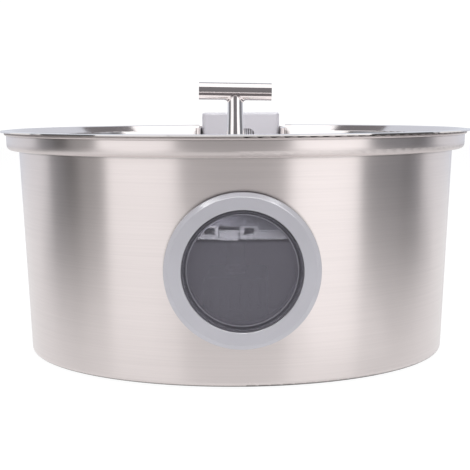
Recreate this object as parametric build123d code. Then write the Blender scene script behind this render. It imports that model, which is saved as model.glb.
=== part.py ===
from build123d import *
import math
import os

# A pet water fountain: a brushed steel bowl with a round window, a lift-out steel drinking tray with a
# tee spout, a filter housing under the tray, and a submersible pump.
# Millimetres. Z is up, the floor is z = 0 and the bowl's axis is the Z axis. The window faces -Y.
# The tray, housing and pump are built square to X and Y, then turned together by housing_turn.

# ---------------------------------------------------------------- clearances
lift_gap = 0.3          # between pieces that lift, drop or turn past each other
clamp_gap = 0.05        # between round or tapered faces that are clamped together
shaft_gap = 0.06        # radial, between a shaft or spigot and its bore
over = 1.0              # how far a cut runs past the face it opens

# ---------------------------------------------------------------- bowl
sheet = 0.8             # steel sheet of the bowl and tray
foot_height = 1.0
foot_radius = 9.0
foot_inset = 23.0       # from the edge of the bowl's base to the pads' centres
foot_count = 4
bowl_base_radius = 141.4
wall_flare = 6.5        # how much wider the wall is at its top than at its foot
bowl_wall_height = 136.6
bowl_corner = 2.9
shoulder_crease = 0.9
shoulder_corner = 3.5
collar_step = 8.15      # how far the collar stands out past the top of the wall
collar_flare = 0.35     # how much wider the collar is at its rim than at its foot
collar_height = 10.9    # from the shoulder to the middle of the rim bead
bead_radius = 1.1

# ---------------------------------------------------------------- window
window_height = 70.4    # window axis above the bowl's base
ring_proud = 6.46       # front plane of the window ring, out from the wall at the window's middle
window_inside = 64.5    # in from that wall, further in than all the window's pieces
ring_face = 10.4        # from the lens's edge out to the ring's edge
ring_bevel_width = 2.6
ring_bevel_depth = 1.5
ring_bevel_round = 0.7
ring_inner_round = 0.6
lens_radius = 35.6
lens_rim_setback = 0.5
lens_recess = 5.8
lens_wall_front = 0.8
lens_wall_back = 3.0
lens_floor_round = 0.9    # between the lens's floor and its wall
lens_floor = 2.0
lens_gap = 0.15
window_seal = 0.8       # thickness of both window gaskets
lens_lip = 2.75         # how far the ring's lip reaches in behind the lens
lens_lip_thickness = 2.0
spigot_wall = 1.8
spigot_depth = 17.5     # inner end of the ring's spigot, in from that wall
nut_depth = 6.0
nut_width = 8.0
nut_lugs = 8
nut_lug_size = 7.0
backing_depth = 10.7    # flat inner face of the saddle backing, in from that wall
saddle_width = 6.4

# ---------------------------------------------------------------- drinking tray
housing_turn = -3.5     # degrees about Z
crest_inset = 1.2       # tray's crest, in from the middle of the bowl's rim bead
crest_round = 2.4
lip_width = 5.3         # from the crest out to the lip's edge
lip_drop = 0.5
ledge_width = 6.0       # from the crest in to the ledge
ledge_drop = 4.7
ledge_round = 0.8
basin_lean = 8.7        # how much narrower the tray's wall is at its foot than at the ledge
basin_depth = 20.5      # from the crest down to the foot of the tray's wall
basin_round = 5.0
gutter_width = 15.5
gutter_dip = 1.6
dome_radius = 60.0
dome_rise = 0.9
centre_radius = 18.0
centre_rise = 2.4
floor_round = 12.0
jamb_width = 4.3
jamb_round = 1.9
jamb_drop = 1.8
dam_setback = 4.7       # from the cap's front face forward to the dam
dam_drop = 15.6         # from the crest down to the dam's top

# ---------------------------------------------------------------- spout
grommet_radius = 11.5
grommet_flange = 1.8
grommet_neck = 7.6
bar_length = 50.0
bar_radius = 6.0
bar_bore = 4.8
bar_height = 25.5       # bar's axis above the tray's crest
bar_tilt = 1.2          # degrees, lower end at +X
bar_yaw = 3.0           # degrees about Z
stem_bore = 3.4
stem_top_radius = 5.3
stem_foot_radius = 6.9
stem_foot_length = 15.0
stem_flare = 1.5        # spread of the stem where it meets its flange
stem_taper = 0.5
stem_blend = 2.4
spout_flange_radius = 10.0
spout_flange_depth = 1.5
spigot_radius = 5.0
shank_step = 0.5        # how much wider the shank is than the spigot below it
spigot_length = 27.0    # spigot below the tray's centre
nut_height = 4.0
nut_across = 17.0
spout_nut_gap = 0.3
seal_radius = 0.42      # O-ring's section
seal_groove_width = 1.7
seal_height = 7.0       # O-ring above the spigot's lower end

# ---------------------------------------------------------------- cap and drain tower
cap_half_width = 30.2
cap_length = 22.0
cap_rise = 9.8          # cap's top above the tray's crest
cap_depth = 28.4        # cap's height
cap_wall = 2.0
cap_edge = 3.6
cap_top_edge = 1.3
jamb_gap = 0.8          # between the cap and the tray's notch
arch_half_width = 10.6
arch_top = 12.2         # arch's top below the cap's top
arch_sill = 3.2         # arch's sill above the cap's lower edge
arch_corner = 4.0
grille_bars = 11
grille_bar_width = 0.9
grille_bar_depth = 1.0
grille_setback = 1.0
duct_wall = 2.0
tower_flange = 2.4
tower_flange_reach = 8.0
tower_screw_back = 8.0  # rear screws behind the duct's front
ledge_thickness = 2.2
column_half_width = 20.0
column_lead_gap = 0.4   # from the column's back to the lead
head_inset = 4.8        # from the collar's inner face to the head's back
head_depth = 16.2
head_height = 18.4
head_wall = 2.0
head_gap = 0.3
pocket_half_width = 11.0
basket_wall = 1.2
basket_depth = 20.0
basket_rim = 1.2
basket_slot = 2.4
basket_front = 7.0

# ---------------------------------------------------------------- power socket
socket_rise = 3.0       # socket's axis above the tray's crest
socket_radius = 5.0
socket_recess_radius = 4.2
socket_recess_depth = 4.0
socket_bore_radius = 2.85
socket_bore_depth = 6.5
socket_collar = 1.2
socket_collar_depth = 2.5
socket_length = 12.0
socket_pin_radius = 1.0
socket_pin_length = 5.0
socket_tail = 3.6       # half-width of the socket's square back

# ---------------------------------------------------------------- filter housing
box_half_width = 45.0
box_front = 55.8
lead_room = 0.7         # from the housing's back to the lead
box_wall = 2.0
box_top = 32.1          # top of the housing below the tray's crest
box_height = 32.6
box_front_round = 6.0
box_back_round = 30.0
leg_width = 8.0
leg_depth = 6.0
leg_gap = 1.0
leg_front = -40.0
leg_inset = 7.6         # from the back round of the housing to the rear legs
sleeve_bore = 9.0
sleeve_wall = 1.8
inlet_half_width = 24.0

# ---------------------------------------------------------------- filter base and media
skirt_height = 5.8
skirt_wall = 2.6
skirt_proud = 2.2
base_plate = 2.0
base_gap = 0.3
snap_offset = -2.3      # middle of the front snaps from the housing's centre line
loop_pitch = 25.9
loop_width = 11.9
loop_rise = 2.7         # loop's top above the skirt
loop_rail = 2.6
loop_thickness = 1.3
loop_lift = 3.0         # hole's bottom above the skirt's lower edge
loop_hole_height = 4.4
tab_width = 12.7
tab_slit = 0.5
tab_thickness = 1.8
tab_drop = 0.5
slot_height = 2.3
catch_depth = 0.6
catch_height = 2.4
cassette_gap = 1.0
cassette_wall = 1.6
cassette_height = 23.0
cassette_inset = 3.6    # from the back round of the housing to the cassette
media_gap = 0.3
foam_thickness = 6.0
carbon_thickness = 9.0
cotton_thickness = 4.0
drain_slot_width = 3.0
drain_slot_length = 22.0
drain_slots = 9

# ---------------------------------------------------------------- nozzle socket and hose
socket_flange_radius = 12.0
socket_flange_depth = 2.0
nozzle_room = 3.0       # from the spigot's end to the socket's floor
barb_radius = 4.5
barb_bore = 3.2
barb_gap = 9.9          # between the ends of the two barbs, inside the hose
hose_wall = 1.8
hose_overlap = 9.0
clip_width = 5.0
clip_thickness = 1.2
clip_ear = 3.0

# ---------------------------------------------------------------- pump
cup_height = 6.0
cup_radius = 7.0
cup_neck = 3.0
cup_rim = 0.8           # thickness of the cup's edge
cup_skirt = 2.6         # height of the cup's cone
cup_x = 15.0
cup_front = 12.0
cup_back = 38.0
pump_half_width = 22.0
pump_half_height = 21.0
pump_back = 47.0
pump_edge = 4.0
volute_front = 9.0
volute_back = 8.0
volute_radius = 15.5
well_radius = 9.3
well_end = 40.0
outlet_rise = 9.0
cover_plate = 3.0
inlet_radius = 7.5
spider_width = 2.4
spider_spokes = 3       # bars across the whole inlet
intake_depth = 14.0
intake_wall = 1.8
intake_slots = 6
intake_slot_width = 2.2
sponge_gap = 0.4
sponge_setback = 5.6    # from the cover's front to the sponge
shaft_radius = 1.5
shaft_front_reach = 1.5
bush_radius = 4.0
bush_length = 3.0
hub_radius = 3.2
blade_count = 6
blade_thickness = 1.2
blade_radius = 13.5
blade_front = -6.0
blade_back = 5.0
disc_thickness = 1.4
magnet_radius = 8.3
magnet_front = 10.0
magnet_back = 38.0
dial_radius = 8.0
dial_thickness = 2.4
dial_pin_radius = 2.0
dial_grip_width = 2.4
dial_grip_height = 2.0
dial_grip_tail = 2.4    # grip's length below the dial's axis
dial_grip_reach = 6.8   # grip's length above the dial's axis
dial_boss = 3.0         # length of the pivot's bore
dial_offset = 9.0       # dial's axis below the pump's axis
gland_radius = 3.4
gland_length = 5.0

# ---------------------------------------------------------------- internal lead
lead_radius = 1.7
lead_exit_drop = 11.0   # lead's exit below the pump's axis
lead_inset = 1.0        # the lead's upright run, in from the edge of the bowl's base
lead_run_out = 74.0
lead_floor_run = 28.0   # from the lead's upright run to where it meets the floor
lead_rise = 26.0
lead_lean = 6.0         # how far in front of its upright run the lead starts to rise
lead_upright = 46.0     # height where the lead is upright
lead_bend = 0.45        # share of the shorter run that each bend takes up
lead_clip_width = 6.0
lead_clip_height = 4.0
lead_clip_pitch = 20.0

# ---------------------------------------------------------------- fasteners
screw_radius = 1.5
screw_head_radius = 2.9
screw_head_height = 1.8
screw_length = 6.0

# ---------------------------------------------------------------- derived levels and places
bowl_base = foot_height
bowl_floor = bowl_base + sheet
foot_circle = bowl_base_radius - foot_inset
bowl_top_radius = bowl_base_radius + wall_flare
collar_radius = bowl_top_radius + collar_step
rim_radius = collar_radius + collar_flare
shoulder_z = bowl_base + bowl_wall_height
bead_z = shoulder_z + collar_height
bead_centre = rim_radius - sheet + bead_radius
bead_top = bead_z + bead_radius
crest_radius = bead_centre - crest_inset
lip_radius = crest_radius + lip_width
ledge_radius = crest_radius - ledge_width
basin_radius = ledge_radius - basin_lean
gutter_radius = basin_radius - gutter_width
crest_z = bead_top + lift_gap + sheet + lip_drop / lip_width * crest_inset
window_z = bowl_base + window_height
ring_radius = lens_radius + ring_face
window_wall = bowl_base_radius + wall_flare * window_height / bowl_wall_height
window_face = window_wall + ring_proud
window_core = window_wall - window_inside
spigot_end = window_wall - spigot_depth
backing_edge = window_wall - backing_depth
basin_z = crest_z - basin_depth
gutter_z = basin_z - gutter_dip
dome_z = gutter_z + gutter_dip + dome_rise
centre_z = basin_z + centre_rise
head_back = collar_radius - sheet - head_inset
head_front = head_back - head_depth
cap_back = head_front - head_gap
cap_front = cap_back - cap_length
notch_half_width = cap_half_width + jamb_gap
jamb_outer = notch_half_width + jamb_width
dam_front = cap_front - dam_setback
jamb_top = crest_z - jamb_drop
cap_top = crest_z + cap_rise
cap_bottom = cap_top - cap_depth
sill_z = cap_bottom + arch_sill
arch_z = cap_top - arch_top
lead_back = bowl_base_radius - lead_inset
lead_low = lead_back - lead_floor_run
column_back = lead_back - lead_radius - column_lead_gap
box_back = lead_back - lead_radius - lead_room
leg_back = box_back - box_back_round - leg_inset - leg_width
cassette_back = box_back - box_back_round - cassette_inset
housing_top = crest_z - box_top
housing_bottom = housing_top - box_height
skirt_top = housing_bottom - base_gap
skirt_bottom = skirt_top - skirt_height
base_front = box_front + skirt_proud
duct_half_width = cap_half_width - cap_wall - lift_gap
duct_front = cap_front + cap_wall + lift_gap
duct_back = cap_back - cap_wall - lift_gap
duct_top = arch_z - lift_gap
ledge_top = cap_bottom - lift_gap
head_bottom = cap_top - head_height
socket_z = crest_z + socket_rise
bar_z = crest_z + bar_height
lens_front = window_face - lens_rim_setback
lens_floor_front = lens_front - lens_recess
lens_back = lens_floor_front - lens_floor
lip_front = lens_back - window_seal
lens_seat = lens_radius + lens_gap
lip_bore = lens_seat - lens_lip
spigot_outer = lens_seat + spigot_wall
hole_radius = spigot_outer + clamp_gap
pump_axis = bowl_floor + cup_height + pump_half_height
pump_top = pump_axis + pump_half_height
pump_bottom = pump_axis - pump_half_height
outlet_top = pump_top + outlet_rise
barb_end = outlet_top + barb_gap
nozzle_top = housing_top + socket_flange_depth
spigot_bottom = centre_z - spigot_length
nozzle_floor = spigot_bottom - nozzle_room
sleeve_outer = sleeve_bore + sleeve_wall
cover_front = -volute_front - cover_plate
intake_front = cover_front - intake_depth
hose_bottom = outlet_top - hose_overlap
hose_top = barb_end + hose_overlap
cassette_half_width = box_half_width - box_wall - cassette_gap
cassette_front = -box_front + box_wall + cassette_gap
cassette_bottom = skirt_bottom + base_plate
shank_radius = spigot_radius + shank_step
seal_groove_radius = spigot_radius + shaft_gap - 2 * (seal_radius + clamp_gap)
spout_flange_bottom = centre_z + clamp_gap + grommet_flange + lift_gap
grommet_bottom = centre_z - sheet - clamp_gap - grommet_flange
far = 400.0             # longer than the whole object, for cuts that run right through


# ---------------------------------------------------------------- helpers
def block(x, y, z):
    """A box between pairs of X, Y and Z values."""
    size = Box(x[1] - x[0], y[1] - y[0], z[1] - z[0])
    return Pos((x[0] + x[1]) / 2, (y[0] + y[1]) / 2, (z[0] + z[1]) / 2) * size


def wide_block(half_width, y, z):
    """A box centred on X = 0."""
    return block((-half_width, half_width), y, z)


def post(radius, z, x=0.0, y=0.0):
    """An upright cylinder between two Z values."""
    low = Cylinder(radius, z[1] - z[0], align=(Align.CENTER, Align.CENTER, Align.MIN))
    return Pos(x, y, z[0]) * low


def rod(radius, y, height, x=0.0):
    """A cylinder along Y between two Y values, at a height."""
    along = Cylinder(radius, y[1] - y[0], align=(Align.CENTER, Align.CENTER, Align.MIN))
    return Pos(x, y[0], height) * Rot(-90, 0, 0) * along


def window_disc(radius, near, outer):
    """A cylinder on the window's axis, between two distances from the bowl's axis."""
    return rod(radius, (-outer, -near), window_z)


def window_ring_solid(inner, outer, near, front):
    """A plain ring on the window's axis, between two distances from the bowl's axis."""
    return window_disc(outer, near, front) - window_disc(inner, near - over, front + over)


def turned(points):
    """A solid of revolution about Z from a closed outline of (radius, height) points."""
    outline = Polyline(*points, close=True)
    return revolve(Plane.XZ * make_face(outline), axis=Axis.Z)


def spun_sheet(points, radii):
    """Sheet metal of revolution: the path is one face and the sheet lies on its left."""
    path = FilletPolyline(*points, radius=radii)
    section = make_face(offset(path, amount=sheet, side=Side.LEFT, closed=True))
    return revolve(Plane.XZ * section, axis=Axis.Z)


def wall_cone(offset_out):
    """The solid cone of the bowl's outer wall, moved outwards by offset_out."""
    cone = Cone(
        bowl_base_radius + offset_out,
        bowl_top_radius + offset_out,
        bowl_wall_height,
        align=(Align.CENTER, Align.CENTER, Align.MIN),
    )
    return Pos(0, 0, bowl_base) * cone


def upright_edges(shape):
    return shape.edges().filter_by(Axis.Z)


def plan_outline(grow, front, back, z):
    """The housing's outline in plan, grown outwards by grow, between two Z values."""
    shell = wide_block(box_half_width + grow, (-front, back), z)
    corners = upright_edges(shell).sort_by(Axis.Y)
    shell = fillet(corners[0:2], box_front_round + grow)
    corners = upright_edges(shell).filter_by_position(Axis.Y, back - over, back + over)
    return fillet(corners, box_back_round + grow)


# ---------------------------------------------------------------- bowl and window
def make_bowl():
    """One spun steel sheet with a stepped collar, a rolled rim and the window's hole."""
    path = [
        (0, bowl_base),
        (bowl_base_radius, bowl_base),
        (bowl_top_radius, shoulder_z),
        (collar_radius, shoulder_z),
        (rim_radius, bead_z),
    ]
    shell = spun_sheet(path, [bowl_corner, shoulder_crease, shoulder_corner])
    bead = Pos(0, 0, bead_z) * Torus(bead_centre, bead_radius)
    return shell + bead - window_disc(hole_radius, window_core, window_face)


def make_foot_pads():
    places = PolarLocations(foot_circle, foot_count, start_angle=45)
    return Compound([place * post(foot_radius, (0, foot_height)) for place in places])


def make_window_ring():
    """The outer ring, with its back cut to the wall's curve and a spigot through the hole."""
    flange = window_disc(ring_radius, window_core, window_face)
    front_rim = flange.edges().filter_by(GeomType.CIRCLE).sort_by(Axis.Y)[0]
    front_face = flange.faces().sort_by(Axis.Y)[0]
    flange = chamfer(front_rim, ring_bevel_width, ring_bevel_depth, reference=front_face)
    bevel_edges = flange.edges().filter_by(GeomType.CIRCLE).sort_by(Axis.Y)[0:2]
    flange = fillet(bevel_edges, ring_bevel_round)
    flange = flange - wall_cone(window_seal + clamp_gap)
    ring = flange + window_disc(spigot_outer, spigot_end, lip_front + lens_lip_thickness)
    ring = ring - window_disc(lens_seat, lip_front, window_face + over)
    front_edges = ring.faces().sort_by(Axis.Y)[0].edges().sort_by(SortBy.RADIUS)
    ring = fillet(front_edges[0], ring_inner_round)
    return ring - window_disc(lip_bore, spigot_end - over, window_face + over)


def make_window_gasket():
    """A flat rubber ring bent to the wall, between the wall and the window ring."""
    ring = window_ring_solid(hole_radius, hole_radius + saddle_width, window_core, window_face)
    return ring & (wall_cone(window_seal) - wall_cone(clamp_gap))


def make_window_backing():
    """A saddle ring inside the wall that gives the nut a flat face."""
    ring = window_ring_solid(hole_radius, hole_radius + saddle_width, backing_edge, window_face)
    return ring & wall_cone(-sheet - clamp_gap)


def make_window_nut():
    """The ring nut on the spigot, with finger lugs. Its thread is left plain."""
    outer = hole_radius + nut_width
    near = backing_edge - clamp_gap - nut_depth
    nut = window_disc(outer, near, near + nut_depth)
    for step in range(nut_lugs):
        angle = math.radians(step * 360 / nut_lugs)
        place = Pos(outer * math.sin(angle), 0, outer * math.cos(angle))
        notch = rod(nut_lug_size / 2, (-near - nut_depth - over, -near + over), window_z)
        nut -= place * notch
    return nut - window_disc(hole_radius, near - over, near + nut_depth + over)


def make_window_lens():
    """A smoked clear dish whose floor is set back from its rim."""
    dish = window_disc(lens_radius, lens_back, lens_front)
    recess = Cone(
        lens_radius - lens_wall_back,
        lens_radius - lens_wall_front,
        lens_recess,
        align=(Align.CENTER, Align.CENTER, Align.MIN),
    )
    floor_edge = recess.edges().filter_by(GeomType.CIRCLE).sort_by(Axis.Z)[0]
    recess = fillet(floor_edge, lens_floor_round)
    return dish - Pos(0, -lens_floor_front, window_z) * Rot(90, 0, 0) * recess


def make_lens_gasket():
    return window_ring_solid(lip_bore, lens_radius, lip_front, lens_back)


# ---------------------------------------------------------------- drinking tray
def tray_path():
    return [
        (lip_radius, crest_z - lip_drop),
        (crest_radius, crest_z),
        (ledge_radius, crest_z - ledge_drop),
        (basin_radius, basin_z),
        (gutter_radius, gutter_z),
        (dome_radius, dome_z),
        (centre_radius, centre_z),
        (0, centre_z),
    ]


def jamb_shell(side):
    """One side of the notch's raised border: a steel fold, open underneath."""
    near = notch_half_width
    outer = jamb_outer
    x = (near, outer) if side > 0 else (-outer, -near)
    inner_x = (x[0] + sheet, x[1] - sheet)
    z = (gutter_z - 2 * sheet, jamb_top)
    outer_fold = block(x, (dam_front, lip_radius), z)
    outer_fold = fillet(upright_edges(outer_fold).sort_by(Axis.Y)[0:2], jamb_round)
    inner_y = (dam_front + sheet, lip_radius + over)
    inner_fold = block(inner_x, inner_y, (z[0] - over, jamb_top - sheet))
    inner_fold = fillet(upright_edges(inner_fold).sort_by(Axis.Y)[0:2], jamb_round - sheet)
    return outer_fold - inner_fold


def make_drinking_tray():
    """The basin: a spun sheet whose lip overhangs the bowl, notched at the back for the cap."""
    rounds = [crest_round, ledge_round, basin_round, floor_round, floor_round, floor_round]
    basin = spun_sheet(tray_path(), rounds)
    cut_width = jamb_outer - sheet / 2
    basin -= wide_block(cut_width, (dam_front + sheet / 2, lip_radius + over), (0, far))
    inside_radius = collar_radius - sheet - lift_gap
    room = turned(
        [
            (0, gutter_z - 2 * sheet),
            (bowl_top_radius - 2 * sheet - lift_gap, gutter_z - 2 * sheet),
            (bowl_top_radius - 2 * sheet - lift_gap, shoulder_z + 3 * sheet),
            (inside_radius, shoulder_z + shoulder_corner + sheet),
            (inside_radius, far),
            (0, far),
        ]
    )
    border = (jamb_shell(1) + jamb_shell(-1)) & room
    dam_z = (gutter_z - sheet, crest_z - dam_drop)
    dam = wide_block(jamb_outer - jamb_round, (dam_front, dam_front + sheet), dam_z)
    tray = basin + border + dam
    return tray - post(grommet_neck + clamp_gap, (0, far))


def make_spout_grommet():
    """Silicone grommet in the tray's centre hole, the spout's bearing."""
    neck = post(grommet_neck, (grommet_bottom, centre_z + clamp_gap + grommet_flange))
    upper = post(grommet_radius, (centre_z + clamp_gap, centre_z + clamp_gap + grommet_flange))
    lower = post(grommet_radius, (grommet_bottom, grommet_bottom + grommet_flange))
    return neck + upper + lower - post(shank_radius + shaft_gap, (0, far))


# ---------------------------------------------------------------- spout
def make_spout_tee():
    """A polished steel tube that stands in the tray, with an open cross tube on top."""
    foot_top = spout_flange_bottom + spout_flange_depth
    stem_top = foot_top + stem_foot_length
    neck_z = bar_z - bar_radius - stem_blend
    flare = Bezier(
        (stem_foot_radius + stem_flare, foot_top),
        (stem_foot_radius - stem_flare / 2, foot_top + stem_flare),
        (stem_foot_radius - stem_flare / 2, foot_top + stem_foot_length / 2),
        (stem_top_radius + stem_taper, stem_top),
    )
    upper = Bezier(
        (stem_top_radius + stem_taper, stem_top),
        (stem_top_radius, stem_top + stem_foot_length / 2),
        (stem_top_radius, neck_z),
    )
    outline = [
        Line((0, foot_top), (stem_foot_radius + stem_flare, foot_top)),
        flare,
        upper,
        Line((stem_top_radius, neck_z), (stem_top_radius, bar_z)),
        Line((stem_top_radius, bar_z), (0, bar_z)),
        Line((0, bar_z), (0, foot_top)),
    ]
    stem = revolve(Plane.XZ * make_face(outline), axis=Axis.Z)
    bar_place = Pos(0, 0, bar_z) * Rot(0, 0, bar_yaw) * Rot(0, bar_tilt, 0) * Rot(0, 90, 0)
    bar = bar_place * Cylinder(bar_radius, bar_length)
    tee = stem + bar
    joints = [edge for edge in tee.edges() if edge.center().Z > neck_z + over]
    joints = [edge for edge in joints if abs(edge.center().X) < bar_length / 4]
    joints = [edge for edge in joints if edge.geom_type != GeomType.LINE]
    tee = fillet(joints, stem_blend)
    flange = post(spout_flange_radius, (spout_flange_bottom, foot_top))
    rim = flange.edges().filter_by(GeomType.CIRCLE).sort_by(Axis.Z)[-1]
    flange = fillet(rim, spout_flange_depth / 2)
    shank = post(shank_radius, (grommet_bottom - spout_nut_gap - nut_height, spout_flange_bottom))
    spigot = post(spigot_radius, (spigot_bottom, grommet_bottom))
    tee = tee + flange + shank + spigot
    groove_z = spigot_bottom + seal_height
    half = seal_groove_width / 2
    groove = post(spigot_radius + over, (groove_z - half, groove_z + half))
    tee -= groove - post(seal_groove_radius, (groove_z - 2 * half, groove_z + 2 * half))
    tee -= bar_place * Cylinder(bar_bore, bar_length + 2 * over)
    return tee - post(stem_bore, (spigot_bottom - over, bar_z))


def make_spout_nut():
    """The hexagon nut under the tray that keeps the spout in its grommet."""
    top = grommet_bottom - spout_nut_gap
    corner_radius = nut_across / 2 / math.cos(math.radians(30))
    prism = extrude(RegularPolygon(corner_radius, 6), amount=nut_height)
    return Pos(0, 0, top - nut_height) * prism - post(shank_radius + clamp_gap, (0, far))


def make_spout_o_ring():
    """The sealing ring in the spigot's groove."""
    centre = seal_groove_radius + clamp_gap + seal_radius
    return Pos(0, 0, spigot_bottom + seal_height) * Torus(centre, seal_radius)


# ---------------------------------------------------------------- cap, basket and tower
def make_filter_cap():
    """The grey cover over the drain, with an arched grille at the foot of its front."""
    cap = wide_block(cap_half_width, (cap_front, cap_back), (cap_bottom, cap_top))
    cap = fillet(upright_edges(cap).sort_by(Axis.Y)[0:2], cap_edge)
    cap = fillet(cap.faces().sort_by(Axis.Z)[-1].edges(), cap_top_edge)
    inner = (cap_front + cap_wall, cap_back - cap_wall)
    cap -= wide_block(cap_half_width - cap_wall, inner, (cap_bottom - over, cap_top - cap_wall))
    arch = wide_block(arch_half_width, (cap_front - over, cap_front + cap_wall + over), (sill_z, arch_z))
    upper = arch.edges().filter_by(Axis.Y).sort_by(Axis.Z)[2:4]
    cap -= fillet(upper, arch_corner)
    pitch = 2 * arch_half_width / (grille_bars + 1)
    for bar in range(grille_bars):
        x = -arch_half_width + (bar + 1) * pitch
        side = grille_bar_width / 2
        y = cap_front + grille_setback
        cap += block((x - side, x + side), (y, y + grille_bar_depth), (sill_z - over, arch_z + over))
    return cap


def make_strainer_basket():
    """The lift-out strainer that hangs inside the cap and dips into the duct."""
    half = duct_half_width - duct_wall - cassette_gap / 2
    y = (duct_front + duct_wall + cassette_gap / 2, duct_back - duct_wall - cassette_gap / 2)
    top = duct_top + lift_gap
    floor = top - basket_depth
    basket = wide_block(half, y, (floor, top))
    inner_y = (y[0] + basket_wall, y[1] - basket_wall)
    basket -= wide_block(half - basket_wall, inner_y, (floor + basket_wall, top + over))
    front_y = (y[0] - over, y[0] + basket_wall + over)
    basket -= wide_block(half - basket_wall, front_y, (floor + basket_front, top + over))
    count = int(2 * half / (2 * basket_slot)) - 1
    for slot in range(count):
        x = (slot - (count - 1) / 2) * 2 * basket_slot
        slot_x = (x - basket_slot / 2, x + basket_slot / 2)
        slot_y = (inner_y[0] + basket_wall, inner_y[1] - basket_wall)
        basket -= block(slot_x, slot_y, (floor - over, floor + basket_wall + over))
    rim_half = cap_half_width - cap_wall - clamp_gap
    rim_back = cap_back - cap_wall - clamp_gap
    rim = wide_block(rim_half, (y[0] + basket_wall, rim_back), (top, top + basket_rim))
    return basket + rim - wide_block(half - basket_wall, inner_y, (top - over, far))


def make_drain_tower():
    """The duct from the cap down to the housing, with the socket's head behind it."""
    bottom = housing_top
    foot_y = (duct_front - tower_flange_reach, duct_back)
    tower = wide_block(duct_half_width + tower_flange_reach, foot_y, (bottom, bottom + tower_flange))
    tower += wide_block(duct_half_width, (duct_front, duct_back), (bottom, duct_top))
    ledge = (ledge_top - ledge_thickness, ledge_top)
    tower += wide_block(cap_half_width, (cap_front, head_front + over), ledge)
    tower += wide_block(column_half_width, (duct_back - over, column_back), (bottom, ledge_top))
    tower += wide_block(column_half_width, (head_front, column_back), (bottom, head_bottom + over))
    head = wide_block(cap_half_width, (head_front, head_back), (head_bottom, cap_top))
    head = fillet(upright_edges(head).sort_by(Axis.Y)[2:4], cap_edge)
    head = fillet(head.faces().sort_by(Axis.Z)[-1].edges(), cap_top_edge)
    tower += head
    inner_y = (duct_front + duct_wall, duct_back - duct_wall)
    tower -= wide_block(duct_half_width - duct_wall, inner_y, (bottom - over, duct_top + over))
    front_y = (cap_front - over, duct_front + duct_wall + over)
    tower -= wide_block(duct_half_width - duct_wall, front_y, (sill_z, duct_top + over))
    pocket_y = (head_front + head_wall, head_back - head_wall)
    pocket_z = (head_bottom + head_wall, cap_top - head_wall)
    tower -= wide_block(pocket_half_width, pocket_y, pocket_z)
    lead_way = (column_back, pocket_y[1])
    tower -= wide_block(pocket_half_width, lead_way, (head_bottom - over, pocket_z[1]))
    tower -= rod(socket_radius + clamp_gap, (pocket_y[1] - over, head_back + over), socket_z)
    for x, y in tower_screw_places():
        tower -= post(screw_radius + clamp_gap, (bottom - over, bottom + tower_flange + over), x, y)
    return tower


def tower_screw_places():
    x = duct_half_width + tower_flange_reach / 2
    steps = (-tower_flange_reach / 2, tower_screw_back)
    return [(side * x, duct_front + step) for side in (-1, 1) for step in steps]


def make_tower_screws():
    """Pan-head screws that fix the tower to the housing."""
    top = housing_top + tower_flange
    screws = []
    for x, y in tower_screw_places():
        head = post(screw_head_radius, (top, top + screw_head_height), x, y)
        rim = head.edges().filter_by(GeomType.CIRCLE).sort_by(Axis.Z)[-1]
        head = fillet(rim, screw_head_height / 3)
        cross = Pos(x, y, top + screw_head_height) * (
            Box(screw_head_radius, screw_head_height / 3, screw_head_height)
            + Box(screw_head_height / 3, screw_head_radius, screw_head_height)
        )
        screws.append(head - cross + post(screw_radius, (top - screw_length, top), x, y))
    return Compound(screws)


def make_power_socket():
    """The low-voltage inlet: a round recess, a barrel bore behind it and a square back."""
    inner = head_back - head_wall
    body = rod(socket_radius, (inner - over, head_back), socket_z)
    collar_z = (socket_z - socket_radius - socket_collar, cap_top - head_wall - clamp_gap)
    body += wide_block(socket_radius + socket_collar, (inner - socket_collar_depth, inner), collar_z)
    body += wide_block(
        socket_tail,
        (head_back - socket_length, inner - socket_collar_depth),
        (socket_z - socket_tail, socket_z + socket_tail),
    )
    recess_floor = head_back - socket_recess_depth
    body -= rod(socket_recess_radius, (recess_floor, head_back + over), socket_z)
    return body - rod(socket_bore_radius, (recess_floor - socket_bore_depth, head_back), socket_z)


def make_socket_pin():
    start = head_back - socket_recess_depth - socket_bore_depth
    pin = rod(socket_pin_radius, (start, start + socket_pin_length), socket_z)
    return fillet(pin.edges().filter_by(GeomType.CIRCLE).sort_by(Axis.Y)[-1], socket_pin_radius / 2)


# ---------------------------------------------------------------- filter housing
def leg_places():
    return [(side, y) for side in (-1, 1) for y in (leg_front, leg_back)]


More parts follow.
